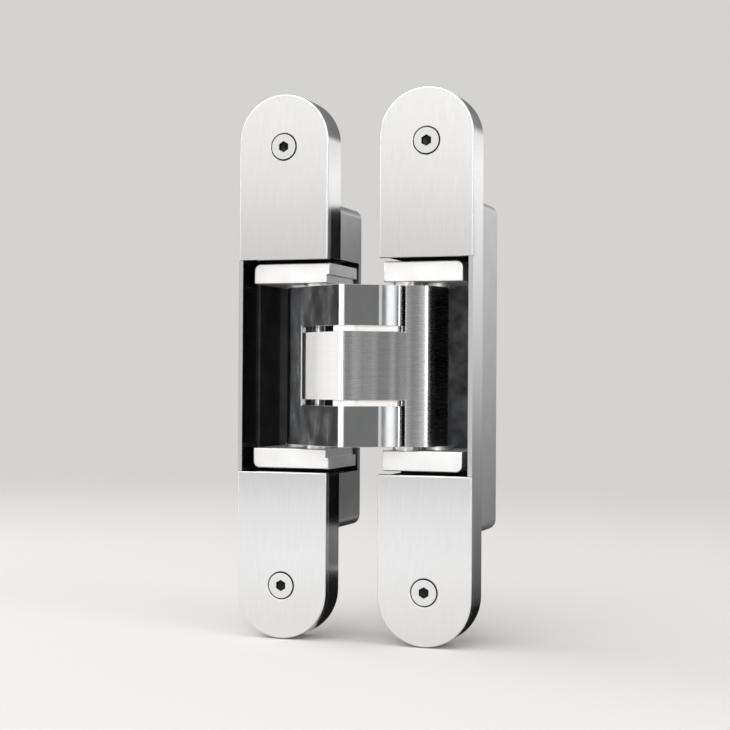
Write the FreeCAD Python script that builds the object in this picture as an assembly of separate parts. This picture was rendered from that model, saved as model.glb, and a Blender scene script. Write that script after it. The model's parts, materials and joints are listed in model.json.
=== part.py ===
import FreeCAD, Part
import math
import os

# Concealed door hinge, drawn open at 180 degrees, in millimetres.
# X runs across the two halves, the frame half on the left and the door half on the right.
# Y runs into the door, with the visible faces at y = 0. Z runs up along the hinge.
# The origin is midway between the two halves, on the face plane, at mid height.
# Everything is drawn for the door half, at +X, and mirrored for the frame half.

# Outer sizes of one half
plate_width = 28.0
hinge_height = 160.0
half_spacing = 7.9
end_depth = 11.0
body_depth = 30.0
deep_inset = 0.6
deep_corner_radius = 3.0

# Cover plates
cover_thickness = 2.4
cover_overhang = 0.6
cover_edge_round = 0.45
cover_seat_gap = 0.05
cover_screw_from_end = 15.5
cover_screw_head_radius = 4.1
cover_screw_head_depth = 2.0
cover_screw_radius = 2.0
cover_screw_length = 9.0
cover_screw_head_gap = 0.15
cover_screw_key = 3.0
cover_screw_key_depth = 1.5
cover_peg_radius = 1.5
cover_peg_length = 2.5
cover_peg_offset = 9.5
cover_peg_gap = 0.1

# Housing walls and pockets
rim_wall = 1.3
rim_depth = 12.0
deep_wall = 1.4
floor_thickness = 2.2
pocket_end_gap = 1.5
cavity_end_gap = 1.8
cavity_end_wall = 1.7
ledge_y = 20.1
fixing_hole_radius = 2.6
fixing_head_radius = 5.0
inner_fixing_inset = 6.0
outer_fixing_from_end = 6.4
end_shell_wall = 2.0
end_shell_roof = 2.0
fixing_boss_radius = 4.9
cover_screw_boss_radius = 3.9
peg_boss_radius = 2.9
rib_width = 1.8

# Carriers
carrier_inner_w = 0.5
carrier_side_gap = 1.7
carrier_front_y = 3.0
carrier_back_gap = 0.5
carrier_thickness = 5.9
carrier_corner_radius = 2.0
carrier_edge_round = 0.4
carrier_step_w = 0.9
carrier_step_height = 2.5
foot_side_gap = 1.5
foot_front_y = 13.0
foot_past_adjuster = 6.9
sliding_gap = 0.1

# Eccentrics and clamp screws
adjuster_inset = 7.9
foot_web = 1.25
eccentric_throw = 2.0
eccentric_web = 0.2
eccentric_journal_radius = 2.5
eccentric_journal_length = 6.0
eccentric_head_radius = 3.4
eccentric_head_height = 2.6
eccentric_key = 3.0
eccentric_key_depth = 2.0
eccentric_slot_gap = 0.15
eccentric_slot_run = 0.4
clamp_to_wall = 2.5
clamp_radius = 2.5
clamp_thread_length = 7.0
clamp_head_radius = 4.2
clamp_head_height = 3.4
clamp_head_round = 0.35
clamp_key = 4.0
clamp_key_depth = 2.0
clamp_washer_radius = 5.0
clamp_washer_thickness = 1.0
clamp_play = 1.4

# Linkage, measured from the inner edge of a half (w) and from its face (depth)
pivot_w = 5.8
pivot_depth = 8.6
centre_height = 5.0
slide_w = 13.4
slide_depth = 14.7
closed_gap = 4.6

# Arms
ridge_height = 10.0
ridge_radius = 1.2
corner_w = 14.5
corner_depth = 4.7
corner_radius = 5.5
arm_wall = 3.6
arch_clearance = 0.3
tip_edge_w = 7.2
tip_corner_radius = 3.0
tip_bend_w = 1.0
tip_bend_drop = 0.8
tip_bend_radius = 40.0
arm_tip_gap = 0.8
spine_inner_w = 10.3
inner_fold_radius = 1.2
pivot_eye_radius = 3.9
slide_eye_radius = 3.4
arm_half_height = 23.2
tongue_half_height = 9.75
leaf_gap = 1.75

# Pins, bushes, washers and rollers
pin_radius = 2.0
pin_chamfer = 0.4
bush_radius = 2.8
running_gap = 0.05
pivot_pin_inset = 0.3
slide_pin_inset = 0.6
roller_radius = 3.2
roller_slot_gap = 0.25
roller_end_gap = 0.15
slide_washer_radius = 4.9
pivot_washer_radius = 3.9
washer_gap = 0.1
washer_space = 1.2
glide_radius = 3.9
glide_end_w = 5.8
glide_inset = 0.7

# Heights that follow from the arms outwards
leaf_inner_z = tongue_half_height + leaf_gap
carrier_face_z = arm_half_height + washer_space
carrier_outer_z = carrier_face_z + carrier_thickness
pivot_pin_end_z = carrier_outer_z - pivot_pin_inset
slide_pin_end_z = carrier_outer_z - slide_pin_inset
pocket_half_height = carrier_outer_z + pocket_end_gap
cover_edge_z = pocket_half_height - cover_overhang
adjuster_z = carrier_outer_z + adjuster_inset
foot_end_z = adjuster_z + foot_past_adjuster
cavity_end_z = foot_end_z + cavity_end_gap
deep_half_height = cavity_end_z + cavity_end_wall
inner_fixing_z = deep_half_height + inner_fixing_inset
half_height = hinge_height / 2
outer_fixing_z = half_height - outer_fixing_from_end
cover_screw_z = half_height - cover_screw_from_end

# Widths and depths that follow, the widths measured from the inner edge of a half
plate_radius = plate_width / 2
mid_w = plate_width / 2
deep_wall_w = plate_width - deep_inset - deep_wall
carrier_outer_w = deep_wall_w - carrier_side_gap
foot_inner_w = rim_wall + foot_side_gap
eccentric_lobe_radius = eccentric_throw + eccentric_journal_radius + eccentric_web
eccentric_slot_radius = eccentric_lobe_radius + eccentric_slot_gap
eccentric_w = foot_inner_w + foot_web + eccentric_slot_run + eccentric_slot_radius
clamp_w = plate_width - rim_wall - clamp_to_wall - clamp_washer_radius
spine_edge_w = tip_edge_w + arm_tip_gap
floor_y = body_depth - floor_thickness
carrier_back_y = floor_y - carrier_back_gap
foot_back_y = ledge_y - sliding_gap
seat_y = cover_thickness + cover_seat_gap

# Small helpers: how far a cut runs past a face, and how close two numbers count as one
past = 1.0
same = 1e-6


def across(w):
    return half_spacing + w


pivot_x = across(pivot_w)
slide_x = across(slide_w)
centre_y = -centre_height
slope = (ridge_height + corner_depth) / across(corner_w)
wall_offset = arm_wall * math.sqrt(1 + slope * slope)


def front_line(x):
    return slope * abs(x) - ridge_height


def inner_line(x):
    return front_line(x) + wall_offset


# Positions along the travel, seen from one half, where closing runs from 0 to 1
def turned(x, y, angle):
    new_x = x * math.cos(angle) - y * math.sin(angle)
    new_y = x * math.sin(angle) + y * math.cos(angle)
    return new_x, new_y


def pivot_swing():
    arm = math.hypot(pivot_x, pivot_depth + centre_height)
    drop = pivot_depth + closed_gap / 2
    reach = math.sqrt(arm * arm - drop * drop)
    open_angle = math.atan2(centre_y - pivot_depth, -pivot_x)
    closed_angle = math.atan2(-drop, reach)
    return closed_angle - open_angle


def slide_position(closing):
    swing = pivot_swing()
    centre = turned(-pivot_x, centre_y - pivot_depth, swing * closing)
    offset = turned(slide_x, slide_depth - centre_y, (math.pi - swing) * closing)
    return pivot_x + centre[0] + offset[0], pivot_depth + centre[1] + offset[1]


# Basic shapes
def point(x, y, z=0.0):
    return FreeCAD.Vector(x, y, z)


def box(x0, x1, y0, y1, z0, z1):
    return Part.makeBox(x1 - x0, y1 - y0, z1 - z0, point(x0, y0, z0))


def rod_z(x, y, radius, z0, z1):
    return Part.makeCylinder(radius, z1 - z0, point(x, y, z0), point(0, 0, 1))


def rod_y(x, z, radius, y0, y1):
    return Part.makeCylinder(radius, y1 - y0, point(x, y0, z), point(0, 1, 0))


def cone_y(x, z, radius0, radius1, y0, y1):
    return Part.makeCone(radius0, radius1, y1 - y0, point(x, y0, z), point(0, 1, 0))


def ring_z(x, y, outer, inner, z0, z1):
    return rod_z(x, y, outer, z0, z1).cut(rod_z(x, y, inner, z0 - past, z1 + past))


def hex_y(x, z, across_flats, y0, y1):
    radius = across_flats / math.sqrt(3)
    corners = []
    for step in range(6):
        angle = math.radians(60 * step + 30)
        corners.append(point(x + radius * math.cos(angle), y0, z + radius * math.sin(angle)))
    corners.append(corners[0])
    return Part.Face(Part.makePolygon(corners)).extrude(point(0, y1 - y0))


def mirror_x(shape):
    return shape.mirror(point(0, 0), point(1, 0))


def mirror_z(shape):
    return shape.mirror(point(0, 0), point(0, 0, 1))


def edges_along(shape, direction):
    found = []
    for edge in shape.Edges:
        if edge.Curve.TypeId != "Part::GeomLine":
            continue
        if edge.tangentAt(edge.FirstParameter).cross(direction).Length < same:
            found.append(edge)
    return found


def rounded_outline(corners):
    # Each corner is x, y and the radius of its rounding
    edges = []
    joints = []
    count = len(corners)
    for index in range(count):
        x, y, radius = corners[index]
        here = point(x, y)
        before = point(*corners[index - 1][:2])
        after = point(*corners[(index + 1) % count][:2])
        if radius == 0:
            joints.append((here, here))
            continue
        to_before = (before - here).normalize()
        to_after = (after - here).normalize()
        half_angle = to_before.getAngle(to_after) / 2
        reach = radius / math.tan(half_angle)
        start = here + to_before * reach
        end = here + to_after * reach
        towards_middle = (to_before + to_after).normalize()
        middle = here + towards_middle * (radius / math.sin(half_angle) - radius)
        edges.append(Part.Arc(start, middle, end).toShape())
        joints.append((start, end))
    for index in range(count):
        start = joints[index][1]
        end = joints[(index + 1) % count][0]
        edges.append(Part.LineSegment(start, end).toShape())
    return Part.Face(Part.Wire(Part.__sortEdges__(edges)))


def slab(face, z0, z1):
    moved = face.translated(point(0, 0, z0))
    return moved.extrude(point(0, 0, z1 - z0))


# Housing of one half
def stadium(inset, y0, y1):
    radius = plate_radius - inset
    centre_z = half_height - plate_radius
    x = across(mid_w)
    shape = box(x - radius, x + radius, y0, y1, -centre_z, centre_z)
    for z in (-centre_z, centre_z):
        shape = shape.fuse(rod_y(x, z, radius, y0, y1))
    return shape.removeSplitter()


def housing_block():
    ends = stadium(0, seat_y, end_depth)
    deep = box(across(0), across(plate_width - deep_inset), seat_y, body_depth,
               -deep_half_height, deep_half_height)
    deep = deep.makeFillet(deep_corner_radius, edges_along(deep, point(0, 1)))
    rim_half = cover_edge_z - cover_seat_gap
    rim = box(across(plate_width - rim_wall), across(plate_width), 0, end_depth, -rim_half, rim_half)
    return ends.fuse(deep).fuse(rim)


def housing_pockets():
    upper = box(across(-past), across(plate_width - rim_wall), -past, rim_depth,
                -pocket_half_height, pocket_half_height)
    lower = box(across(-past), across(deep_wall_w), -past, floor_y,
                -pocket_half_height, pocket_half_height)
    cavity = box(across(rim_wall), across(plate_width - rim_wall), -past, rim_depth,
                 pocket_half_height - past, cavity_end_z)
    cavity_floor = box(across(rim_wall), across(deep_wall_w), -past, ledge_y,
                       pocket_half_height - past, cavity_end_z)
    shape = upper.fuse(lower)
    for piece in (cavity, cavity_floor):
        shape = shape.fuse(piece).fuse(mirror_z(piece))
    return shape


def end_recess():
    # The cast ends are hollow from behind, with bosses round the holes and one rib
    y0 = seat_y + end_shell_roof
    x = across(mid_w)
    recess = stadium(end_shell_wall, y0, end_depth + past)
    start_z = deep_half_height + end_shell_wall
    keep = box(across(-past), across(plate_width + past), y0 - past, end_depth + 2 * past,
               start_z, half_height)
    recess = recess.common(keep)
    bosses = [
        (x, inner_fixing_z, fixing_boss_radius),
        (x, outer_fixing_z, fixing_boss_radius),
        (x, cover_screw_z, cover_screw_boss_radius),
        (x - cover_peg_offset, cover_screw_z, peg_boss_radius),
        (x + cover_peg_offset, cover_screw_z, peg_boss_radius),
    ]
    for boss_x, boss_z, radius in bosses:
        recess = recess.cut(rod_y(boss_x, boss_z, radius, y0 - past, end_depth + 2 * past))
    rib = box(x - rib_width / 2, x + rib_width / 2, y0 - past, end_depth + 2 * past,
              start_z - past, half_height)
    return recess.cut(rib)


def housing_holes(throw_x, throw_z):
    x = across(mid_w)
    through = end_depth + past
    peg_end_y = seat_y + cover_peg_length + cover_peg_gap
    holes = []
    for sign in (-1, 1):
        for z in (inner_fixing_z, outer_fixing_z):
            holes.append(rod_y(x, sign * z, fixing_hole_radius, 0, through))
            sink = fixing_head_radius - fixing_hole_radius
            holes.append(cone_y(x, sign * z, fixing_head_radius, fixing_hole_radius,
                                seat_y, seat_y + sink))
        holes.append(rod_y(x, sign * cover_screw_z, cover_screw_radius, 0, through))
        for peg_x in (x - cover_peg_offset, x + cover_peg_offset):
            holes.append(rod_y(peg_x, sign * cover_screw_z, cover_peg_radius + cover_peg_gap,
                               0, peg_end_y))
        holes.append(rod_y(across(clamp_w), sign * adjuster_z, clamp_radius, ledge_y - past,
                           ledge_y + clamp_thread_length))
    holes.append(rod_y(across(eccentric_w) - throw_x, adjuster_z - throw_z,
                       eccentric_journal_radius + running_gap, ledge_y - past,
                       ledge_y + eccentric_journal_length + running_gap))
    return holes


def make_housing(throw_x, throw_z):
    shape = housing_block().cut(housing_pockets())
    recess = end_recess()
    shape = shape.cut(recess).cut(mirror_z(recess))
    for hole in housing_holes(throw_x, throw_z):
        shape = shape.cut(hole)
    return shape.removeSplitter()


# Cover plates and their screws, upper end
def make_cover_plate():
    shape = stadium(0, 0, cover_thickness)
    keep = box(across(-past), across(plate_width + past), -past, cover_thickness + past,
               cover_edge_z, half_height + past)
    shape = shape.common(keep)
    front_edges = [edge for edge in shape.Edges if abs(edge.BoundBox.YMax) < same]
    shape = shape.makeFillet(cover_edge_round, front_edges)
    x = across(mid_w)
    for peg_x in (x - cover_peg_offset, x + cover_peg_offset):
        peg = rod_y(peg_x, cover_screw_z, cover_peg_radius, cover_thickness - past,
                    seat_y + cover_peg_length)
        shape = shape.fuse(peg)
    head = cover_screw_head_radius + cover_screw_head_gap
    shank = cover_screw_radius + cover_screw_head_gap
    sink = cone_y(x, cover_screw_z, head, shank, 0, cover_screw_head_depth)
    shape = shape.cut(sink).cut(rod_y(x, cover_screw_z, shank, -past, cover_thickness + past))
    return shape.removeSplitter()


def make_cover_screw():
    x = across(mid_w)
    z = cover_screw_z
    head = cone_y(x, z, cover_screw_head_radius, cover_screw_radius, 0, cover_screw_head_depth)
    shank = rod_y(x, z, cover_screw_radius, cover_screw_head_depth, cover_screw_length)
    shape = head.fuse(shank).removeSplitter()
    return shape.cut(hex_y(x, z, cover_screw_key, -past, cover_screw_key_depth))


# Carrier at the upper end of the pocket, with the curved slot for the guide roller
def round_end(end, centre, away_from):
    # The half-circle at the end of the slot bulges away from its middle
    outward = (end - centre).normalize()
    bulge = point(outward.y, -outward.x)
    if bulge.dot(away_from - end) > 0:
        bulge = point(-outward.y, outward.x)
    half_width = roller_radius + roller_slot_gap
    outer = end + outward * half_width
    inner = end - outward * half_width
    return outer, end + bulge * half_width, inner


def curved_slot():
    start = point(*slide_position(0.0))
    middle = point(*slide_position(0.5))
    end = point(*slide_position(1.0))
    centre = Part.Arc(start, middle, end).toShape().Curve.Center
    half_width = roller_radius + roller_slot_gap
    out_middle = (middle - centre).normalize() * half_width
    start_outer, start_cap, start_inner = round_end(start, centre, middle)
    end_outer, end_cap, end_inner = round_end(end, centre, middle)
    edges = [
        Part.Arc(start_outer, middle + out_middle, end_outer).toShape(),
        Part.Arc(end_outer, end_cap, end_inner).toShape(),
        Part.Arc(end_inner, middle - out_middle, start_inner).toShape(),
        Part.Arc(start_inner, start_cap, start_outer).toShape(),
    ]
    return slab(Part.Face(Part.Wire(edges)), carrier_face_z - past, carrier_outer_z + past)


def carrier_block():
    shape = box(across(carrier_inner_w), across(carrier_outer_w), carrier_front_y, carrier_back_y,
                carrier_face_z, carrier_outer_z)
    corner = [edge for edge in edges_along(shape, point(0, 1))
              if edge.BoundBox.XMin > across(mid_w) and edge.BoundBox.ZMin > carrier_face_z + past]
    shape = shape.makeFillet(carrier_corner_radius, corner)
    front = [edge for edge in shape.Edges if abs(edge.BoundBox.YMax - carrier_front_y) < same]
    return shape.makeFillet(carrier_edge_round, front)


def carrier_step():
    # The frame half's carriers are stepped back at their inner end, beside the arms
    return box(across(carrier_inner_w - past), across(carrier_inner_w + carrier_step_w),
               carrier_front_y - past, carrier_back_y + past,
               carrier_face_z - past, carrier_face_z + carrier_step_height)


def make_carrier(slot_run_x, slot_run_z, has_eccentric, has_step):
    shape = carrier_block().cut(curved_slot())
    if has_step:
        shape = shape.cut(carrier_step())
    foot = box(across(foot_inner_w), across(carrier_outer_w), foot_front_y, foot_back_y,
               carrier_outer_z, foot_end_z)
    foot = foot.cut(rod_y(across(clamp_w), adjuster_z, clamp_radius + clamp_play,
                          foot_front_y - past, foot_back_y + past))
    if has_eccentric:
        radius = eccentric_slot_radius
        x = across(eccentric_w)
        slot = rod_y(x - slot_run_x, adjuster_z - slot_run_z, radius,
                     foot_front_y - past, foot_back_y + past)
        slot = slot.fuse(rod_y(x + slot_run_x, adjuster_z + slot_run_z, radius,
                               foot_front_y - past, foot_back_y + past))
        half_x = radius if slot_run_x == 0 else slot_run_x
        half_z = radius if slot_run_z == 0 else slot_run_z
        slot = slot.fuse(box(x - half_x, x + half_x, foot_front_y - past, foot_back_y + past,
                             adjuster_z - half_z, adjuster_z + half_z))
        foot = foot.cut(slot)
    shape = shape.fuse(foot)
    shape = shape.cut(rod_z(pivot_x, pivot_depth, pin_radius, carrier_face_z - past,
                            pivot_pin_end_z))
    return shape.removeSplitter()


# Adjusters
def make_eccentric(throw_x, throw_z):
    x = across(eccentric_w) - throw_x
    z = adjuster_z - throw_z
    lobe = rod_y(across(eccentric_w), adjuster_z, eccentric_lobe_radius, foot_front_y, foot_back_y)
    journal = rod_y(x, z, eccentric_journal_radius, foot_back_y - past,
                    ledge_y + eccentric_journal_length)
    head_y = foot_front_y - eccentric_head_height
    head = rod_y(x, z, eccentric_head_radius, head_y, foot_front_y)
    shape = lobe.fuse(journal).fuse(head)
    return shape.cut(hex_y(x, z, eccentric_key, head_y - past, head_y + eccentric_key_depth))


def make_clamp_washer():
    back_y = foot_front_y - sliding_gap
    washer = rod_y(across(clamp_w), adjuster_z, clamp_washer_radius,
                   back_y - clamp_washer_thickness, back_y)
    return washer.cut(rod_y(across(clamp_w), adjuster_z, clamp_radius, 0, foot_front_y))


def make_clamp_screw():
    x = across(clamp_w)
    under_head_y = foot_front_y - sliding_gap - clamp_washer_thickness
    head_y = under_head_y - clamp_head_height
    head = rod_y(x, adjuster_z, clamp_head_radius, head_y, under_head_y)
    rim = [edge for edge in head.Edges if abs(edge.BoundBox.YMax - head_y) < same]
    head = head.makeFillet(clamp_head_round, rim)
    shank = rod_y(x, adjuster_z, clamp_radius, under_head_y, ledge_y + clamp_thread_length)
    shape = head.fuse(shank).removeSplitter()
    return shape.cut(hex_y(x, adjuster_z, clamp_key, head_y - past, head_y + clamp_key_depth))


# Arms, drawn with the spine towards +X
def arm_outline():
    arch_y = -arch_clearance
    arch_x = (arch_y - inner_line(0)) / slope
    tip_x = -across(tip_edge_w)
    bend_x = -across(tip_bend_w)
    return rounded_outline([
        (0, front_line(0), ridge_radius),
        (across(corner_w), corner_depth, corner_radius),
        (slide_x + slide_eye_radius, slide_depth, 0),
        (slide_x - slide_eye_radius, slide_depth, 0),
        (across(spine_inner_w), inner_line(across(spine_inner_w)), inner_fold_radius),
        (arch_x, arch_y, inner_fold_radius),
        (-arch_x, arch_y, inner_fold_radius),
        (-pivot_x + pivot_eye_radius, pivot_depth, 0),
        (tip_x, pivot_depth, 0),
        (tip_x, front_line(tip_x) + tip_bend_drop, tip_corner_radius),
        (bend_x, front_line(bend_x), tip_bend_radius),
    ])


def arm_slab(z0, z1):
    shape = slab(arm_outline(), z0, z1)
    shape = shape.fuse(rod_z(-pivot_x, pivot_depth, pivot_eye_radius, z0, z1))
    shape = shape.fuse(rod_z(slide_x, slide_depth, slide_eye_radius, z0, z1))
    return shape.removeSplitter()


def spine_only():
    return box(across(spine_edge_w), across(plate_width), -ridge_height, body_depth,
               -half_height, half_height)


def arm_bores(pivot_bore, centre_bore):
    reach = arm_half_height + past
    return [
        rod_z(-pivot_x, pivot_depth, pivot_bore, -reach, reach),
        rod_z(0, centre_y, centre_bore, -reach, reach),
        rod_z(slide_x, slide_depth, pin_radius, -reach, reach),
    ]


def make_centre_arm():
    spine = arm_slab(-arm_half_height, arm_half_height).common(spine_only())
    shape = spine.fuse(arm_slab(-tongue_half_height, tongue_half_height))
    for bore in arm_bores(bush_radius, bush_radius):
        shape = shape.cut(bore)
    return shape.removeSplitter()


def make_fork_arm():
    shape = arm_slab(-arm_half_height, arm_half_height).common(spine_only())
    leaf = arm_slab(leaf_inner_z, arm_half_height)
    shape = shape.fuse(leaf).fuse(mirror_z(leaf))
    for bore in arm_bores(bush_radius, pin_radius):
        shape = shape.cut(bore)
    return mirror_x(shape.removeSplitter())


# Pins, bushes, washers, rollers and glides
def make_pin(x, y, end_z):
    pin = rod_z(x, y, pin_radius, -end_z, end_z)
    ends = [edge for edge in pin.Edges
            if abs(abs(edge.BoundBox.ZMax) - end_z) < same and edge.Curve.TypeId == "Part::GeomCircle"]
    return pin.makeChamfer(pin_chamfer, ends)


def make_bush(x, y, z0, z1):
    return ring_z(x, y, bush_radius, pin_radius + running_gap, z0, z1)


def make_slide_washer():
    return ring_z(slide_x, slide_depth, slide_washer_radius, pin_radius,
                  arm_half_height, carrier_face_z - washer_gap)


def make_pivot_washer():
    return ring_z(pivot_x, pivot_depth, pivot_washer_radius, pin_radius,
                  arm_half_height + washer_gap, carrier_face_z)


def make_roller():
    return ring_z(slide_x, slide_depth, roller_radius, pin_radius + running_gap,
                  carrier_face_z + roller_end_gap, slide_pin_end_z - roller_end_gap)


def make_glide():
    # A flat plastic spacer: a disc on the centre pin with a tail along the arm
    z0 = tongue_half_height + washer_gap
    disc = rod_z(0, centre_y, glide_radius, z0, leaf_inner_z)
    end_x = across(glide_end_w)
    lead = glide_inset * math.sqrt(1 + slope * slope)
    tail = Part.makePolygon([
        point(0, front_line(0) + glide_radius, z0),
        point(glide_radius, front_line(glide_radius) + lead, z0),
        point(end_x, front_line(end_x) + lead, z0),
        point(end_x, inner_line(end_x) - lead, z0),
        point(glide_radius, inner_line(glide_radius) - lead, z0),
        point(0, front_line(0) + glide_radius, z0),
    ])
    tail = Part.Face(tail).extrude(point(0, 0, leaf_inner_z - z0))
    return disc.fuse(tail).cut(rod_z(0, centre_y, pin_radius, z0 - past, leaf_inner_z + past))


def save(name, shape):
    shape.exportStep("parts/" + name + ".step")


def save_pair(name, shape):
    save(name + "_top", shape)
    save(name + "_bottom", mirror_z(shape))


def save_half(side, place, throw_x, throw_z):
    # A throw along X lifts the carrier and a throw along Z shifts it sideways
    slot_run_x = eccentric_slot_run if throw_x else 0
    slot_run_z = eccentric_slot_run if throw_z else 0
    save(side + "_housing", place(make_housing(throw_x, throw_z)))
    save_pair(side + "_cover_plate", place(make_cover_plate()))
    save_pair(side + "_cover_screw", place(make_cover_screw()))
    save_pair(side + "_clamp_washer", place(make_clamp_washer()))
    save_pair(side + "_clamp_screw", place(make_clamp_screw()))
    has_step = side == "frame"
    save(side + "_carrier_top", place(make_carrier(slot_run_x, slot_run_z, True, has_step)))
    save(side + "_carrier_bottom", place(mirror_z(make_carrier(0, 0, False, has_step))))
    save(side + "_pivot_pin", place(make_pin(pivot_x, pivot_depth, pivot_pin_end_z)))
    save_pair(side + "_pivot_washer", place(make_pivot_washer()))
    save(side + "_slide_pin", place(make_pin(slide_x, slide_depth, slide_pin_end_z)))
    save_pair(side + "_slide_washer", place(make_slide_washer()))
    save_pair(side + "_guide_roller", place(make_roller()))


def save_linkage():
    save("centre_arm", make_centre_arm())
    save("fork_arm", make_fork_arm())
    save("centre_pin", make_pin(0, centre_y, arm_half_height))
    save("centre_arm_pivot_bush", make_bush(-pivot_x, pivot_depth, -tongue_half_height, tongue_half_height))
    save("centre_arm_middle_bush", make_bush(0, centre_y, -tongue_half_height, tongue_half_height))
    save_pair("fork_pivot_bush", make_bush(pivot_x, pivot_depth, leaf_inner_z, arm_half_height))
    save_pair("centre_glide", make_glide())


os.makedirs("parts", exist_ok=True)
save_half("frame", mirror_x, eccentric_throw, 0)
save_half("door", lambda shape: shape, 0, eccentric_throw)
save("height_eccentric", mirror_x(make_eccentric(eccentric_throw, 0)))
save("side_eccentric", make_eccentric(0, eccentric_throw))
save_linkage()
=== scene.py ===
import bpy
import json
import math
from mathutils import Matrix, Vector

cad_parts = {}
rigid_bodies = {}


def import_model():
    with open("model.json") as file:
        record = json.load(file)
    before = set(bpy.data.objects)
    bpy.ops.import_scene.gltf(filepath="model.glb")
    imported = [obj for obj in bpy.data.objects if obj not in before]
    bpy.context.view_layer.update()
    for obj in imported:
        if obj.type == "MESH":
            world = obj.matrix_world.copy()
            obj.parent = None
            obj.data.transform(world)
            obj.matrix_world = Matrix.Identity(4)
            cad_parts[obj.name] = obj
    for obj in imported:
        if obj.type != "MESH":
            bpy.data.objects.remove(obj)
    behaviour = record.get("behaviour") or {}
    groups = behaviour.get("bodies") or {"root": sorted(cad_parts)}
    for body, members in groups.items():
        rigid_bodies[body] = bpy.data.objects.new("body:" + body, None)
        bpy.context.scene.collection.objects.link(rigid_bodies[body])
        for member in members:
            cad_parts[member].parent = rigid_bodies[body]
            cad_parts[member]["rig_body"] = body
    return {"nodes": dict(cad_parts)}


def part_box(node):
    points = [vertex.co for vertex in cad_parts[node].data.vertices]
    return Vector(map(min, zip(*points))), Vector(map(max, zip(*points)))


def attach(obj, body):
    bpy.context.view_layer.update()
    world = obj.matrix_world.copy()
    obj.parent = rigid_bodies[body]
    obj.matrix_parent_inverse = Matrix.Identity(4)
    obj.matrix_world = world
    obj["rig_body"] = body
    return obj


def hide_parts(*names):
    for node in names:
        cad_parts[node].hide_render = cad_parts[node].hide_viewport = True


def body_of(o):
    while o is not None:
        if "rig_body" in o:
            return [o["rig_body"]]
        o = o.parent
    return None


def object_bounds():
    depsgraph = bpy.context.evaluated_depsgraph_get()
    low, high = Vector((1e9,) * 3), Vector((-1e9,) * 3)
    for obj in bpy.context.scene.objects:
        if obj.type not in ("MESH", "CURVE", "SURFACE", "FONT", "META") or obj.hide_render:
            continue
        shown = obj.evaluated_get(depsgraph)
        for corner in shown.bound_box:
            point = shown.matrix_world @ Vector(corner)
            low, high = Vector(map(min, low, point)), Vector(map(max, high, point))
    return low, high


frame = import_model()
cad_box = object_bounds()
nodes = frame["nodes"]

# Camera, to the right of the hinge and just below its middle, looking very slightly up.
# It stands where the photograph was taken from, and its lens gives the same perspective.
image_width = 730
focal_pixels = 1541.03
camera_place = (0.14825, -0.42053, -0.00430)
camera_angles = (90.591, -0.354, 18.947)
camera_data = bpy.data.cameras.new("camera")
camera_data.sensor_width = 36
camera_data.lens = camera_data.sensor_width * focal_pixels / image_width
camera_data.clip_start = 0.01
camera = bpy.data.objects.new("camera", camera_data)
camera.location = camera_place
camera.rotation_euler = [math.radians(angle) for angle in camera_angles]
bpy.context.scene.collection.objects.link(camera)
bpy.context.scene.camera = camera
bpy.context.scene.view_settings.view_transform = "Standard"

# Studio room: plain walls of the same pale grey all round, evenly lit.
# The camera sees them behind the hinge, and bare metal mirrors them.
room_colour = (0.66, 0.65, 0.64, 1)
world = bpy.data.worlds.new("studio")
bpy.context.scene.world = world
world.use_nodes = True
world.node_tree.nodes["Background"].inputs["Color"].default_value = room_colour

# Floor: a wide sheet of pale paper just under the hinge, which fades into the room's shade
# further out, so that no edge or horizon shows behind the hinge from any side.
floor_drop = 0.0002
floor_radius = 2.5
floor_fade_start = 0.25
floor_fade_end = 0.9
floor_z = cad_box[0].z - floor_drop
bpy.ops.mesh.primitive_circle_add(vertices=96, radius=floor_radius, fill_type="NGON",
                                  location=(0, 0, floor_z))
floor = bpy.context.object
floor.name = "floor"
paper = bpy.data.materials.new("floor_paper")
paper.use_nodes = True
tree = paper.node_tree
tree.nodes.clear()
place = tree.nodes.new("ShaderNodeTexCoord")
from_hinge = tree.nodes.new("ShaderNodeVectorMath")
from_hinge.operation = "LENGTH"
tree.links.new(place.outputs["Object"], from_hinge.inputs[0])
fade = tree.nodes.new("ShaderNodeMapRange")
fade.interpolation_type = "SMOOTHSTEP"
fade.inputs["From Min"].default_value = floor_fade_start
fade.inputs["From Max"].default_value = floor_fade_end
tree.links.new(from_hinge.outputs["Value"], fade.inputs["Value"])
matt = tree.nodes.new("ShaderNodeBsdfDiffuse")
matt.inputs["Color"].default_value = room_colour
clear = tree.nodes.new("ShaderNodeBsdfTransparent")
either = tree.nodes.new("ShaderNodeMixShader")
tree.links.new(fade.outputs[0], either.inputs["Fac"])
tree.links.new(matt.outputs[0], either.inputs[1])
tree.links.new(clear.outputs[0], either.inputs[2])
surface = tree.nodes.new("ShaderNodeOutputMaterial")
tree.links.new(either.outputs[0], surface.inputs["Surface"])
floor.data.materials.append(paper)


# Lamps: large soft panels round the hinge. Azimuth 0 is in front of it and 90 at its right.
# A panel's level is the brightness that its face adds to the room behind it, where 1 is white.
def studio_place(azimuth, elevation, distance):
    turn = math.radians(azimuth)
    lift = math.radians(elevation)
    return Vector((math.sin(turn) * math.cos(lift), -math.cos(turn) * math.cos(lift),
                   math.sin(lift))) * distance


panel_distance = 1.2


def soft_panel(name, azimuths, elevations, level):
    lamp = bpy.data.lights.new(name, "AREA")
    lamp.shape = "RECTANGLE"
    lamp.size = panel_distance * math.radians(azimuths[1] - azimuths[0])
    lamp.size_y = panel_distance * math.radians(elevations[1] - elevations[0])
    lamp.energy = level * math.pi * lamp.size * lamp.size_y
    holder = bpy.data.objects.new(name, lamp)
    holder.location = studio_place(sum(azimuths) / 2, sum(elevations) / 2, panel_distance)
    holder.rotation_mode = "QUATERNION"
    holder.rotation_quaternion = (-holder.location).to_track_quat("-Z", "Y")
    bpy.context.scene.collection.objects.link(holder)


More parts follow.
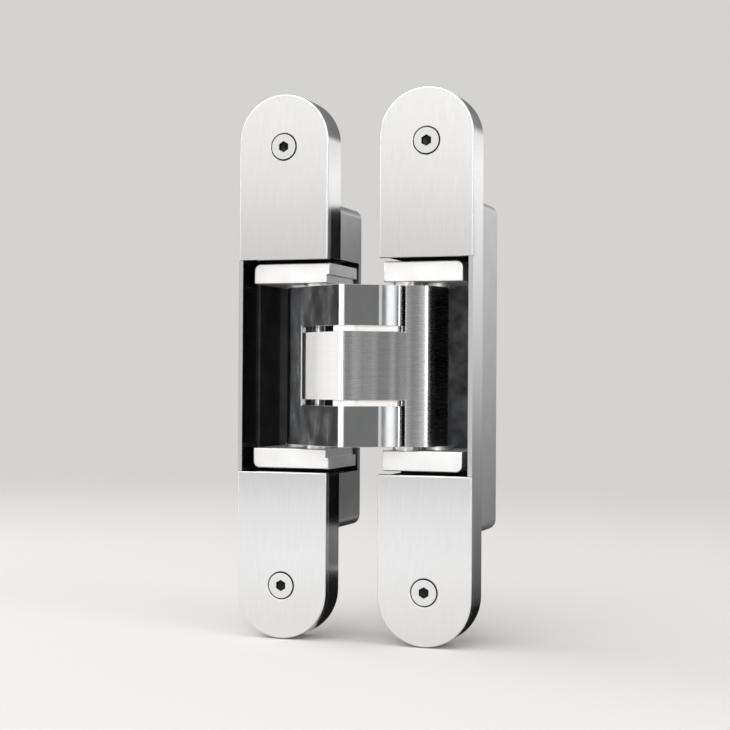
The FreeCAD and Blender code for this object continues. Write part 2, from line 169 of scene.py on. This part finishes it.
soft_panel("panel_front_high", (-45, 5), (10.5, 45), 0.4)
soft_panel("panel_front_top", (-50, 10), (32, 60), 1.6)
soft_panel("panel_edge_strip", (13, 23), (-25, 40), 3.5)
soft_panel("panel_left", (-78, -58), (-20, 20), 2.6)
soft_panel("panel_left_high", (-115, -70), (24, 62), 2.5)
soft_panel("panel_right", (63, 78), (-25, 45), 3.0)
soft_panel("panel_above", (-10, 40), (52, 85), 1.2)


# Cards: boards that stand outside the picture and only show as shades in bare metal.
# Each has a row of shades from its foot to its top, given with their heights in metres.
# A card that lies on the floor has them from its front edge to its back edge.
def read_piece(tree, what):
    place = tree.nodes.new("ShaderNodeTexCoord")
    split = tree.nodes.new("ShaderNodeSeparateXYZ")
    tree.links.new(place.outputs[what], split.inputs[0])
    return split.outputs


def maths(tree, operation, first, second=None):
    step = tree.nodes.new("ShaderNodeMath")
    step.operation = operation
    for socket, value in zip(step.inputs, (first, second)):
        if isinstance(value, (int, float)):
            socket.default_value = value
        elif value:
            tree.links.new(value, socket)
    return step.outputs[0]


def card(name, middle, width, shades, lying_at=None):
    foot = shades[0][0]
    height = shades[-1][0] - foot
    bpy.ops.mesh.primitive_plane_add(size=1)
    board = bpy.context.object
    board.name = name
    board.scale = (width, height, 1)
    if lying_at is None:
        board.location = (middle[0], middle[1], foot + height / 2)
        board.rotation_euler = (math.pi / 2, 0, math.atan2(middle[1], middle[0]) - math.pi / 2)
    else:
        board.location = (middle, foot + height / 2, lying_at)
    felt = bpy.data.materials.new(name)
    felt.use_nodes = True
    tree = felt.node_tree
    tree.nodes.clear()
    ramp = tree.nodes.new("ShaderNodeValToRGB")
    tree.links.new(maths(tree, "ADD", read_piece(tree, "Object")["Y"], 0.5), ramp.inputs[0])
    stops = ramp.color_ramp.elements
    while len(stops) < len(shades):
        stops.new(1)
    for stop, (up, shade) in zip(stops, shades):
        stop.position = (up - foot) / height
        stop.color = (shade, shade, shade, 1)
    glow = tree.nodes.new("ShaderNodeEmission")
    tree.links.new(ramp.outputs["Color"], glow.inputs["Color"])
    surface = tree.nodes.new("ShaderNodeOutputMaterial")
    tree.links.new(glow.outputs[0], surface.inputs["Surface"])
    board.data.materials.append(felt)
    board.visible_camera = False
    board.visible_diffuse = False
    board.visible_shadow = False


card_distance = 1.5


def far_card(name, azimuths, foot, top, shade):
    width = card_distance * math.radians(azimuths[1] - azimuths[0])
    card(name, studio_place(sum(azimuths) / 2, 0, card_distance), width, ((foot, shade), (top, shade)))


far_card("card_right", (24, 54.7), -0.2, 0.32, 0.26)
far_card("card_right_light", (54.7, 56.7), -0.5, 0.6, 1.0)
far_card("card_right_dim", (56.7, 57.4), -0.5, 0.6, 0.62)
far_card("card_right_grey", (57.4, 58.15), -0.5, 0.6, 0.3)
far_card("card_right_white", (58.15, 59.1), -0.5, 0.6, 1.7)
far_card("card_right_thin", (59.1, 63), -0.5, 0.6, 0.12)
far_card("card_far_right", (79, 90), -0.9, 0.9, 0.06)
far_card("card_left", (-112, -80), -0.45, 0.5, 0.07)
card("card_behind", (0.078, 0.15), 0.085,
     ((-0.0798, 0.12), (-0.030, 0.32), (0.006, 0.62), (0.043, 0.85),
      (0.079, 1.1), (0.093, 0.9), (0.107, 0.25), (0.2, 0.2)))
card("card_top", (-0.02, 0.175), 0.14, ((0.1, 0.2), (0.25, 0.2)))
card("card_gap", (0.027, 0.13), 0.045, ((-0.059, 0.0), (0.0615, 0.0)))
card("card_gap_foot", 0.0045, 0.082, ((0.014, 0.01), (0.16, 0.01)), floor_z + 0.0004)
card("card_behind_foot", 0.0575, 0.025, ((0.014, 0.02), (0.06, 0.04), (0.16, 0.12)), floor_z + 0.0005)
card("card_side_foot", 0.0975, 0.056, ((0.014, 0.02), (0.06, 0.04), (0.13, 0.12), (0.175, 0.12)),
     floor_z + 0.0006)
card("card_low", (-0.035, -0.1), 0.13, ((-0.0798, 1.0), (-0.048, 1.0), (-0.037, 0.7)))


# Housings: the deep body of each half, a zinc die-casting with soft edges, screwed into door or frame.
# Its front rim is ground bright, and the body behind keeps its cast skin, also in its hollow ends, with
# the round marks of the ejector pins on its back. Inside the pocket the casting is rough and painted dark as
# painted shade, darker in the frame's pocket; the strips at the pocket's ends are painted near black as
# painted shade.
rim_depth = 0.0112
rim_roughness = 0.11
skin_roughness = 0.38
pocket_half_height = 0.03185
pocket_width_limit = 0.03465
pocket_front = 0.0001
pocket_back = 0.02785
pocket_extra_roughness = 0.12
pocket_extra_grain = 0.4
end_gap_start = 0.0303
end_centre_across = 0.0219
end_centre_up = 0.066
hollow_radius = 0.0137
hollow_front = 0.0012
ejector_radius = 0.0022
ejector_edge = 0.0001
ejector_height = 0.0001
ejector_places = ((0.0113, 0.0225), (0.0327, 0.0225), (0.0219, 0.0))
housing_edge = 0.00025


def metal(name, colour, roughness, line_direction=None, stretch=0.0):
    made = bpy.data.materials.new(name)
    made.use_nodes = True
    tree = made.node_tree
    shader = tree.nodes["Principled BSDF"]
    shader.inputs["Base Color"].default_value = (*colour, 1)
    shader.inputs["Metallic"].default_value = 1
    shader.inputs["Roughness"].default_value = roughness
    if line_direction:
        shader.inputs["Anisotropic"].default_value = stretch
        lines_in_room = tree.nodes.new("ShaderNodeVectorTransform")
        lines_in_room.vector_type = "VECTOR"
        lines_in_room.convert_from = "OBJECT"
        lines_in_room.convert_to = "WORLD"
        lines_in_room.inputs[0].default_value = line_direction
        surface_normal = tree.nodes.new("ShaderNodeNewGeometry")
        across_lines = tree.nodes.new("ShaderNodeVectorMath")
        across_lines.operation = "CROSS_PRODUCT"
        tree.links.new(surface_normal.outputs["Normal"], across_lines.inputs[0])
        tree.links.new(lines_in_room.outputs[0], across_lines.inputs[1])
        tree.links.new(across_lines.outputs[0], shader.inputs["Tangent"])
    return made, tree, shader


def give_finish(tree, shader, tone, roughness, surface_relief):
    tree.links.new(tone, shader.inputs["Base Color"])
    tree.links.new(roughness, shader.inputs["Roughness"])
    tree.links.new(surface_relief, shader.inputs["Normal"])


def grain(tree, scale, detail):
    place = tree.nodes.new("ShaderNodeTexCoord")
    stretch = tree.nodes.new("ShaderNodeMapping")
    stretch.inputs["Scale"].default_value = scale
    noise = tree.nodes.new("ShaderNodeTexNoise")
    noise.inputs["Scale"].default_value = 1
    noise.inputs["Detail"].default_value = detail
    tree.links.new(place.outputs["Object"], stretch.inputs["Vector"])
    tree.links.new(stretch.outputs[0], noise.inputs["Vector"])
    return noise.outputs["Fac"]


def spread(tree, source, low, high, start=0.3, end=0.7):
    fit = tree.nodes.new("ShaderNodeMapRange")
    fit.inputs["From Min"].default_value = start
    fit.inputs["From Max"].default_value = end
    fit.inputs["To Min"].default_value = low
    fit.inputs["To Max"].default_value = high
    tree.links.new(source, fit.inputs["Value"])
    return fit.outputs[0]


def tint(tree, source, dark, bright):
    mix = tree.nodes.new("ShaderNodeMix")
    mix.data_type = "RGBA"
    for socket, colour in ((mix.inputs[6], dark), (mix.inputs[7], bright)):
        if isinstance(colour, tuple):
            socket.default_value = (*colour, 1)
        else:
            tree.links.new(colour, socket)
    tree.links.new(source, mix.inputs[0])
    return mix.outputs[2]


def relief(tree, source, depth, strength, under=None):
    bump = tree.nodes.new("ShaderNodeBump")
    bump.inputs["Distance"].default_value = depth
    bump.inputs["Strength"].default_value = strength
    tree.links.new(source, bump.inputs["Height"])
    if under:
        tree.links.new(under, bump.inputs["Normal"])
    return bump.outputs[0]


def above(tree, value, limit):
    return maths(tree, "GREATER_THAN", value, limit)


def below(tree, value, limit):
    return maths(tree, "LESS_THAN", value, limit)


def from_middle(tree, value):
    return maths(tree, "ABSOLUTE", value)


def all_of(tree, first, *others):
    product = first
    for share in others:
        product = maths(tree, "MULTIPLY", product, share)
    return product


def straight_distance(tree, first, second):
    squares = maths(tree, "ADD", maths(tree, "MULTIPLY", first, first),
                    maths(tree, "MULTIPLY", second, second))
    return maths(tree, "SQRT", squares)


def distance_from_axis(tree, at, across, up):
    sideways = maths(tree, "SUBTRACT", from_middle(tree, at["X"]), across)
    upwards = maths(tree, "SUBTRACT", from_middle(tree, at["Z"]), up)
    return straight_distance(tree, sideways, upwards)


def dress(node, material, edge_round=0.0, segments=2):
    piece = nodes[node]
    piece.data.materials.clear()
    piece.data.materials.append(material)
    if edge_round:
        weld = piece.modifiers.new("joined_faces", "WELD")
        weld.merge_threshold = 0.000002
        flat = piece.modifiers.new("whole_faces", "DECIMATE")
        flat.decimate_type = "DISSOLVE"
        flat.angle_limit = math.radians(0.5)
        rounding = piece.modifiers.new("soft_edges", "BEVEL")
        rounding.width = edge_round
        rounding.segments = segments
        rounding.limit_method = "ANGLE"
        rounding.angle_limit = math.radians(35)
        even = piece.modifiers.new("even_shading", "WEIGHTED_NORMAL")
        even.weight = 100


casting, tree, shader = metal("cast_zinc", (0.76, 0.76, 0.77), 0.22)
at = read_piece(tree, "Object")
across = from_middle(tree, at["X"])
upwards = from_middle(tree, at["Z"])
in_pocket = all_of(tree, below(tree, across, pocket_width_limit), below(tree, upwards, pocket_half_height),
                   above(tree, at["Y"], pocket_front), below(tree, at["Y"], pocket_back))
end_gap_painted_shade = all_of(tree, in_pocket, above(tree, upwards, end_gap_start))
past_end_line = maths(tree, "MAXIMUM", maths(tree, "SUBTRACT", upwards, end_centre_up), 0.0)
from_mid_line = maths(tree, "SUBTRACT", across, end_centre_across)
inside_wall = below(tree, straight_distance(tree, past_end_line, from_mid_line), hollow_radius)
in_hollow = all_of(tree, inside_wall, above(tree, at["Y"], hollow_front),
                   maths(tree, "SUBTRACT", 1.0, in_pocket))
on_skin = maths(tree, "MAXIMUM", above(tree, at["Y"], rim_depth), in_hollow)
sand = grain(tree, (1400, 1400, 1400), 6)
patches = grain(tree, (160, 160, 160), 4)
patch_share = spread(tree, patches, 0, 1, 0.36, 0.70)
rim_tone = tint(tree, sand, (0.74, 0.74, 0.75), (0.82, 0.82, 0.83))
skin_tone = tint(tree, patches, (0.56, 0.565, 0.575), (0.68, 0.685, 0.695))
# Painted shade: the pocket's inside is painted dark, darker in the frame's pocket than in the door's.
frame_pocket_painted_shade = tint(tree, patch_share, (0.07, 0.072, 0.075), (0.105, 0.108, 0.112))
door_pocket_painted_shade = tint(tree, patch_share, (0.06, 0.062, 0.065), (0.24, 0.245, 0.255))
pocket_painted_shade = tint(tree, above(tree, at["X"], 0.0), frame_pocket_painted_shade, door_pocket_painted_shade)
outside_tone = tint(tree, on_skin, rim_tone, skin_tone)
housing_tone = tint(tree, in_pocket, outside_tone, pocket_painted_shade)
# Painted shade: the strips at the pocket's ends are painted near black and made non-metallic.
casting_tone = tint(tree, end_gap_painted_shade, housing_tone, (0.015, 0.015, 0.015))
casting_roughness = maths(tree, "ADD", spread(tree, on_skin, rim_roughness, skin_roughness, 0, 1),
                          maths(tree, "MULTIPLY", in_pocket, pocket_extra_roughness))
sand_depth = maths(tree, "ADD", spread(tree, on_skin, 0.03, 0.4, 0, 1),
                   maths(tree, "MULTIPLY", in_pocket, pocket_extra_grain))
casting_relief = relief(tree, maths(tree, "MULTIPLY", sand, sand_depth), 0.00006, 0.8)
on_back = above(tree, at["Y"], pocket_back)
for mark_across, mark_up in ejector_places:
    from_mark = distance_from_axis(tree, at, mark_across, mark_up)
    mark = spread(tree, from_mark, 0, 1, ejector_radius, ejector_radius + ejector_edge)
    casting_relief = relief(tree, all_of(tree, on_back, mark), ejector_height, 0.8, casting_relief)
give_finish(tree, shader, casting_tone, casting_roughness, casting_relief)
tree.links.new(spread(tree, end_gap_painted_shade, 1, 0, 0, 1), shader.inputs["Metallic"])
shader.inputs["Specular IOR Level"].default_value = 0
for side in ("frame", "door"):
    dress(side + "_housing", casting, housing_edge)

# Cover plates: stamped from sheet metal, brushed along their length and with softened front edges.
# Each one hides the fixing screws of its end and is held by one countersunk screw.
# The sheet is painted darker towards the pocket as painted shade, and the countersink round each screw is
# painted dark as painted shade.
screw_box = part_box("door_cover_screw_top")
screw_across = (screw_box[0].x + screw_box[1].x) / 2
screw_up = (screw_box[0].z + screw_box[1].z) / 2
screw_seat_radius = 0.0041
screw_seat_front = 0.00012
painted_shade_until = 0.031
painted_shade_end = 0.056
edge_extra_roughness = -0.16


def brush_lines(tree, fine_scale, broad_scale):
    fine_lines = grain(tree, fine_scale, 3)
    broad_lines = grain(tree, broad_scale, 3)
    return maths(tree, "ADD", maths(tree, "MULTIPLY", fine_lines, 0.55),
                 maths(tree, "MULTIPLY", broad_lines, 0.45))


brushed, tree, shader = metal("brushed_sheet", (0.82, 0.82, 0.82), 0.32, (0, 0, 1), 0.7)
at = read_piece(tree, "Object")
facing = read_piece(tree, "Normal")
sheet_lines = brush_lines(tree, (11000, 11000, 220), (3200, 3200, 90))
line_share = spread(tree, sheet_lines, 0, 1, 0.35, 0.65)
bright_tone = tint(tree, line_share, (0.785, 0.785, 0.79), (0.86, 0.86, 0.86))
painted_shade_tone = tint(tree, line_share, (0.67, 0.67, 0.675), (0.745, 0.745, 0.745))
# Painted shade: towards the pocket the sheet's colour is darkened.
unshaded_share = spread(tree, from_middle(tree, at["Z"]), 0, 1, painted_shade_until, painted_shade_end)
sheet_tone = tint(tree, unshaded_share, painted_shade_tone, bright_tone)
from_axis = distance_from_axis(tree, at, screw_across, screw_up)
# Painted shade: the countersink round the screw head is painted near black, for the shaded gap.
in_seat = all_of(tree, below(tree, from_axis, screw_seat_radius), above(tree, at["Y"], screw_seat_front))
cover_tone = tint(tree, in_seat, sheet_tone, (0.05, 0.05, 0.05))
on_edge = below(tree, from_middle(tree, facing["Y"]), 0.6)
cover_roughness = maths(tree, "ADD", spread(tree, sheet_lines, 0.28, 0.36, 0.35, 0.65),
                        maths(tree, "MULTIPLY", on_edge, edge_extra_roughness))
give_finish(tree, shader, cover_tone, cover_roughness, relief(tree, sheet_lines, 0.000008, 0.3))
for side in ("frame", "door"):
    for end in ("top", "bottom"):
        dress(side + "_cover_plate_" + end, brushed)

# Cover screws: M4 countersunk screws with a hexagon socket, turned from stainless steel.
# Each one is flush with its cover plate, and its face shows fine turning rings; its socket is painted near
# black as painted shade.
screw_length = screw_box[1].y - screw_box[0].y
head_radius = 0.0037
head_depth = 0.0020
head_land = 0.0004
neck_length = 0.0008
shank_radius = 0.0020
root_radius = 0.0016
thread_pitch = 0.0007
flank_length = thread_pitch * 0.4
crest_length = thread_pitch * 0.1
point_share = 0.75
socket_across_flats = 0.0029
socket_depth = 0.0015
socket_floor_depth = 0.0004
socket_mouth_share = 1.5
socket_mouth_rise = 0.0005
rim_round = 0.00015


def select_only(piece):
    bpy.ops.object.select_all(action="DESELECT")
    piece.select_set(True)
    bpy.context.view_layer.objects.active = piece


def keep_faces(mesh, wanted):
    for part in list(mesh.vertices) + list(mesh.edges) + list(mesh.polygons):
        part.select = False
    for face in mesh.polygons:
        face.select = wanted(face)


def extrude_along(forward, scale):
    bpy.ops.mesh.extrude_region_move(TRANSFORM_OT_translate={"value": (0, forward, 0)})
    bpy.ops.transform.resize(value=(scale, scale, scale))


bpy.ops.object.select_all(action="DESELECT")
bpy.ops.mesh.primitive_cylinder_add(vertices=48, radius=head_radius, depth=head_land,
                                    location=(0, head_land / 2, 0), rotation=(math.pi / 2, 0, 0))
screw = bpy.context.object
bpy.ops.object.transform_apply(location=True, rotation=True, scale=True)
keep_faces(screw.data, lambda face: face.normal.y > 0.9)
bpy.ops.object.mode_set(mode="EDIT")
bpy.ops.mesh.select_mode(type="FACE")
extrude_along(head_depth - head_land, shank_radius / head_radius)
extrude_along(neck_length, 1.0)
turns = int((screw_length - head_depth - 2 * neck_length) / thread_pitch)
for turn in range(turns):
    extrude_along(flank_length, root_radius / shank_radius)
    extrude_along(crest_length, 1.0)
    extrude_along(flank_length, shank_radius / root_radius)
    extrude_along(crest_length, 1.0)
point_length = screw_length - head_depth - neck_length - turns * thread_pitch
extrude_along(point_length, point_share)
bpy.ops.object.mode_set(mode="OBJECT")

bpy.ops.object.select_all(action="DESELECT")
bpy.ops.mesh.primitive_cylinder_add(vertices=6, radius=socket_across_flats / math.sqrt(3),
                                    depth=2 * socket_depth, rotation=(math.pi / 2, 0, 0))
key = bpy.context.object
bpy.ops.object.transform_apply(location=True, rotation=True, scale=True)
keep_faces(key.data, lambda face: face.normal.y > 0.9)
bpy.ops.object.mode_set(mode="EDIT")
extrude_along(socket_floor_depth, 0.3)
bpy.ops.object.mode_set(mode="OBJECT")
keep_faces(key.data, lambda face: face.normal.y < -0.9)
bpy.ops.object.mode_set(mode="EDIT")
bpy.ops.transform.translate(value=(0, socket_depth, 0))
bpy.ops.mesh.extrude_region_move(TRANSFORM_OT_translate={"value": (0, -socket_mouth_rise, 0)})
bpy.ops.transform.resize(value=(socket_mouth_share, 1, socket_mouth_share))
bpy.ops.transform.translate(value=(0, socket_mouth_rise / 2, 0))
bpy.ops.object.mode_set(mode="OBJECT")
cut = screw.modifiers.new("socket", "BOOLEAN")
cut.operation = "DIFFERENCE"
cut.object = key
cut.solver = "EXACT"
soft = screw.modifiers.new("soft_rim", "BEVEL")
soft.width = rim_round
soft.segments = 3
soft.limit_method = "ANGLE"
soft.angle_limit = math.radians(50)
select_only(screw)
bpy.ops.object.modifier_apply(modifier="socket")
bpy.ops.object.modifier_apply(modifier="soft_rim")
bpy.ops.object.shade_smooth_by_angle(angle=math.radians(30))
keep_faces(screw.data, lambda face: abs(face.normal.y) > 0.999)
bpy.ops.object.mode_set(mode="EDIT")
bpy.ops.mesh.faces_shade_flat()
bpy.ops.object.mode_set(mode="OBJECT")
bpy.data.objects.remove(key)

turned_face, tree, shader = metal("turned_screw", (0.80, 0.80, 0.80), 0.3)
at = read_piece(tree, "Object")
from_axis = distance_from_axis(tree, at, screw_across, screw_up)
ring_noise = tree.nodes.new("ShaderNodeTexNoise")
ring_noise.noise_dimensions = "1D"
ring_noise.inputs["Scale"].default_value = 9000
tree.links.new(from_axis, ring_noise.inputs["W"])
rings = ring_noise.outputs["Fac"]
face_tone = tint(tree, rings, (0.74, 0.74, 0.74), (0.86, 0.86, 0.86))
# Painted shade: the inside of the hexagon socket is painted near black.
in_socket = all_of(tree, below(tree, from_axis, 0.62 * socket_across_flats), above(tree, at["Y"], 0.0003))
screw_tone = tint(tree, in_socket, face_tone, (0.02, 0.02, 0.02))
give_finish(tree, shader, screw_tone, spread(tree, rings, 0.24, 0.36), relief(tree, rings, 0.00001, 0.4))
screw.data.materials.append(turned_face)
for side in ("frame", "door"):
    for end in ("top", "bottom"):
        node = side + "_cover_screw_" + end
        low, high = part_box(node)
        fitted = bpy.data.objects.new(side + "_turned_cover_screw_" + end, screw.data.copy())
        bpy.context.scene.collection.objects.link(fitted)
        select_only(fitted)
        fitted.location = ((low.x + high.x) / 2, low.y, (low.z + high.z) / 2)
        bpy.ops.object.transform_apply(location=True, rotation=True, scale=True)
        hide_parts(node)
        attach(fitted, body_of(nodes[node])[0])
bpy.data.objects.remove(screw)

# Carriers: cast blocks with a bright satin plating at both ends of each pocket, which hold the pins.
# Their feet are clamped under the covers and painted near black as painted shade.
carrier_block_end = 0.03035
carrier_edge = 0.0003
plated, tree, shader = metal("bright_plating", (0.97, 0.97, 0.97), 0.45)
at = read_piece(tree, "Object")
satin_patches = grain(tree, (260, 260, 260), 5)
satin_grain = grain(tree, (2500, 2500, 2500), 3)
block_tone = tint(tree, satin_patches, (0.95, 0.95, 0.95), (0.99, 0.99, 0.99))
# Painted shade: the feet behind the blocks are painted near black where the covers shade them.
on_foot = above(tree, from_middle(tree, at["Z"]), carrier_block_end)
carrier_tone = tint(tree, on_foot, block_tone, (0.02, 0.02, 0.02))
give_finish(tree, shader, carrier_tone, spread(tree, satin_patches, 0.40, 0.50),
            relief(tree, satin_grain, 0.00002, 0.3))
for side in ("frame", "door"):
    for end in ("top", "bottom"):
        dress(side + "_carrier_" + end, plated, carrier_edge)

# Arms: two bent arms of solid metal which cross at the ridge. The centre arm is brushed along its width
# and the fork arm is polished. The ridge, the spine's front corner and the window edges carry painted
# highlights, and the centre arm's left side is painted lighter as painted light.
# Each such edge is given as its place across, its depth, and where its painted highlight starts and ends to
# fade.
ridge = (0.0, -0.0098, 0.0008, 0.0011)
spine_corner = (0.0212, 0.0042, 0.0008, 0.0027)
window_edge = (0.0159, 0.0004, 0.0002, 0.0006)
window_half_height = 0.0117
tongue_half_height = 0.0096
left_extra_roughness = 0.28
highlight_extra_roughness = 0.3
arm_edge = 0.00045
arm_edge_segments = 3


def near_edge(tree, at, edge):
    edge_across, edge_depth, full, fade = edge
    sideways = maths(tree, "SUBTRACT", from_middle(tree, at["X"]), edge_across)
    inwards = maths(tree, "SUBTRACT", at["Y"], edge_depth)
    return spread(tree, straight_distance(tree, sideways, inwards), 1, 0, full, fade)


def past_height(tree, at, height):
    return above(tree, from_middle(tree, at["Z"]), height)


satin, tree, shader = metal("brushed_arm", (0.43, 0.435, 0.44), 0.27, (1, 0, 0), 0.85)
at = read_piece(tree, "Object")
arm_lines = brush_lines(tree, (160, 160, 11000), (70, 70, 3200))
polishing = grain(tree, (330, 330, 5), 1)
rolling = grain(tree, (170, 170, 6), 1)
on_left = below(tree, at["X"], 0.0)
band_share = maths(tree, "ADD", maths(tree, "MULTIPLY", arm_lines, 0.2),
                   maths(tree, "MULTIPLY", polishing, 0.8))
right_share = spread(tree, band_share, 0, 1, 0.35, 0.65)
right_tone = tint(tree, right_share, (0.34, 0.345, 0.35), (0.56, 0.565, 0.57))
# Painted light: the left side is painted far lighter than the right and made less metallic below, as if lit
# by the lamps at the left.
left_share = spread(tree, arm_lines, 0, 1, 0.35, 0.65)
left_painted_light_tone = tint(tree, left_share, (0.80, 0.80, 0.80), (0.86, 0.86, 0.86))
sides_tone = tint(tree, on_left, right_tone, left_painted_light_tone)
shoulder_only = maths(tree, "SUBTRACT", past_height(tree, at, tongue_half_height), on_left)
at_shoulder = maths(tree, "MAXIMUM", shoulder_only, 0.0)
# Painted highlights: the shoulder edge, the spine's front corner and the ridge are painted near white.
shoulder_highlight = all_of(tree, near_edge(tree, at, window_edge), at_shoulder)
spine_highlight = maths(tree, "MAXIMUM", near_edge(tree, at, spine_corner), shoulder_highlight)
spine_highlight_tone = tint(tree, spine_highlight, sides_tone, (0.93, 0.93, 0.93))
arm_tone = tint(tree, near_edge(tree, at, ridge), spine_highlight_tone, (0.97, 0.97, 0.97))
arm_roughness = maths(tree, "ADD", spread(tree, arm_lines, 0.25, 0.29, 0.35, 0.65),
                      maths(tree, "MULTIPLY", on_left, left_extra_roughness))
arm_relief = relief(tree, arm_lines, 0.000008, 0.02, relief(tree, rolling, 0.00025, 0.5))
give_finish(tree, shader, arm_tone, arm_roughness, arm_relief)
tree.links.new(spread(tree, on_left, 1.0, 0.45, 0, 1), shader.inputs["Metallic"])
dress("centre_arm", satin, arm_edge, arm_edge_segments)

polished, tree, shader = metal("polished_arm", (0.60, 0.605, 0.61), 0.07)
at = read_piece(tree, "Object")
smudges = grain(tree, (260, 260, 120), 5)
waves = grain(tree, (130, 130, 90), 2)
on_left = below(tree, at["X"], 0.0)
mirror_tone = tint(tree, smudges, (0.55, 0.555, 0.56), (0.64, 0.645, 0.65))
window_only = maths(tree, "SUBTRACT", on_left, past_height(tree, at, window_half_height))
at_window = maths(tree, "MAXIMUM", window_only, 0.0)
# Painted highlights: the window edge and the ridge are painted near white and made rougher, so that they show
# as solid bands.
window_highlight = all_of(tree, near_edge(tree, at, window_edge), at_window)
fork_edge_highlights = maths(tree, "MAXIMUM", near_edge(tree, at, ridge), window_highlight)
fork_tone = tint(tree, fork_edge_highlights, mirror_tone, (0.97, 0.97, 0.97))
mirror_roughness = maths(tree, "ADD", spread(tree, smudges, 0.03, 0.055),
                         maths(tree, "MULTIPLY", on_left, spread(tree, smudges, 0.02, 0.14)))
fork_roughness = maths(tree, "ADD", mirror_roughness,
                       maths(tree, "MULTIPLY", fork_edge_highlights, highlight_extra_roughness))
give_finish(tree, shader, fork_tone, fork_roughness,
            relief(tree, maths(tree, "MULTIPLY", waves, on_left), 0.00035, 0.5))
dress("fork_arm", polished, arm_edge, arm_edge_segments)

# Glides: spacers between the tongue and the leaves, moulded from white plastic.
# They sit free on the centre pin.
glide_edge = 0.0002
acetal = bpy.data.materials.new("white_acetal")
acetal.use_nodes = True
tree = acetal.node_tree
shader = tree.nodes["Principled BSDF"]
shader.inputs["Subsurface Weight"].default_value = 0.08
shader.inputs["Subsurface Radius"].default_value = (0.001, 0.001, 0.001)
shader.inputs["Subsurface Scale"].default_value = 0.5
moulded = grain(tree, (900, 900, 900), 4)
plastic_tone = tint(tree, moulded, (0.87, 0.87, 0.86), (0.93, 0.93, 0.92))
give_finish(tree, shader, plastic_tone, spread(tree, moulded, 0.3, 0.42), relief(tree, moulded, 0.00002, 0.3))
for end in ("top", "bottom"):
    dress("centre_glide_" + end, acetal, glide_edge)

# Pins, bushes, rollers, clamp screws and eccentrics: turned from steel and ground bright.
# The pins are pressed into the carriers and arms, and the bushes and rollers turn on them.
turned_slots = (("pin", "pin_steel"), ("bush", "bearing_bush"), ("roller", "guide_roller"),
                ("clamp_screw", "screw_steel"), ("eccentric", "screw_steel"))
turned, tree, shader = metal("turned_steel", (0.7, 0.7, 0.71), 0.22)
ground = grain(tree, (500, 500, 6000), 3)
ground_tone = tint(tree, ground, (0.62, 0.62, 0.63), (0.77, 0.77, 0.78))
give_finish(tree, shader, ground_tone, spread(tree, ground, 0.16, 0.3), relief(tree, ground, 0.00001, 0.35))
for node in sorted(nodes):
    for word, slot in turned_slots:
        if word in node:
            dress(node, turned)

# Washers: thin discs between the arms and the carriers and under the clamp screws.
# They are punched from steel sheet and tumbled matt.
tumbled, tree, shader = metal("tumbled_steel", (0.88, 0.88, 0.88), 0.42)
spots = grain(tree, (1200, 1200, 1200), 4)
washer_tone = tint(tree, spots, (0.84, 0.84, 0.84), (0.92, 0.92, 0.92))
give_finish(tree, shader, washer_tone, spread(tree, spots, 0.36, 0.48), relief(tree, spots, 0.00001, 0.4))
for node in sorted(nodes):
    if "washer" in node:
        dress(node, tumbled)
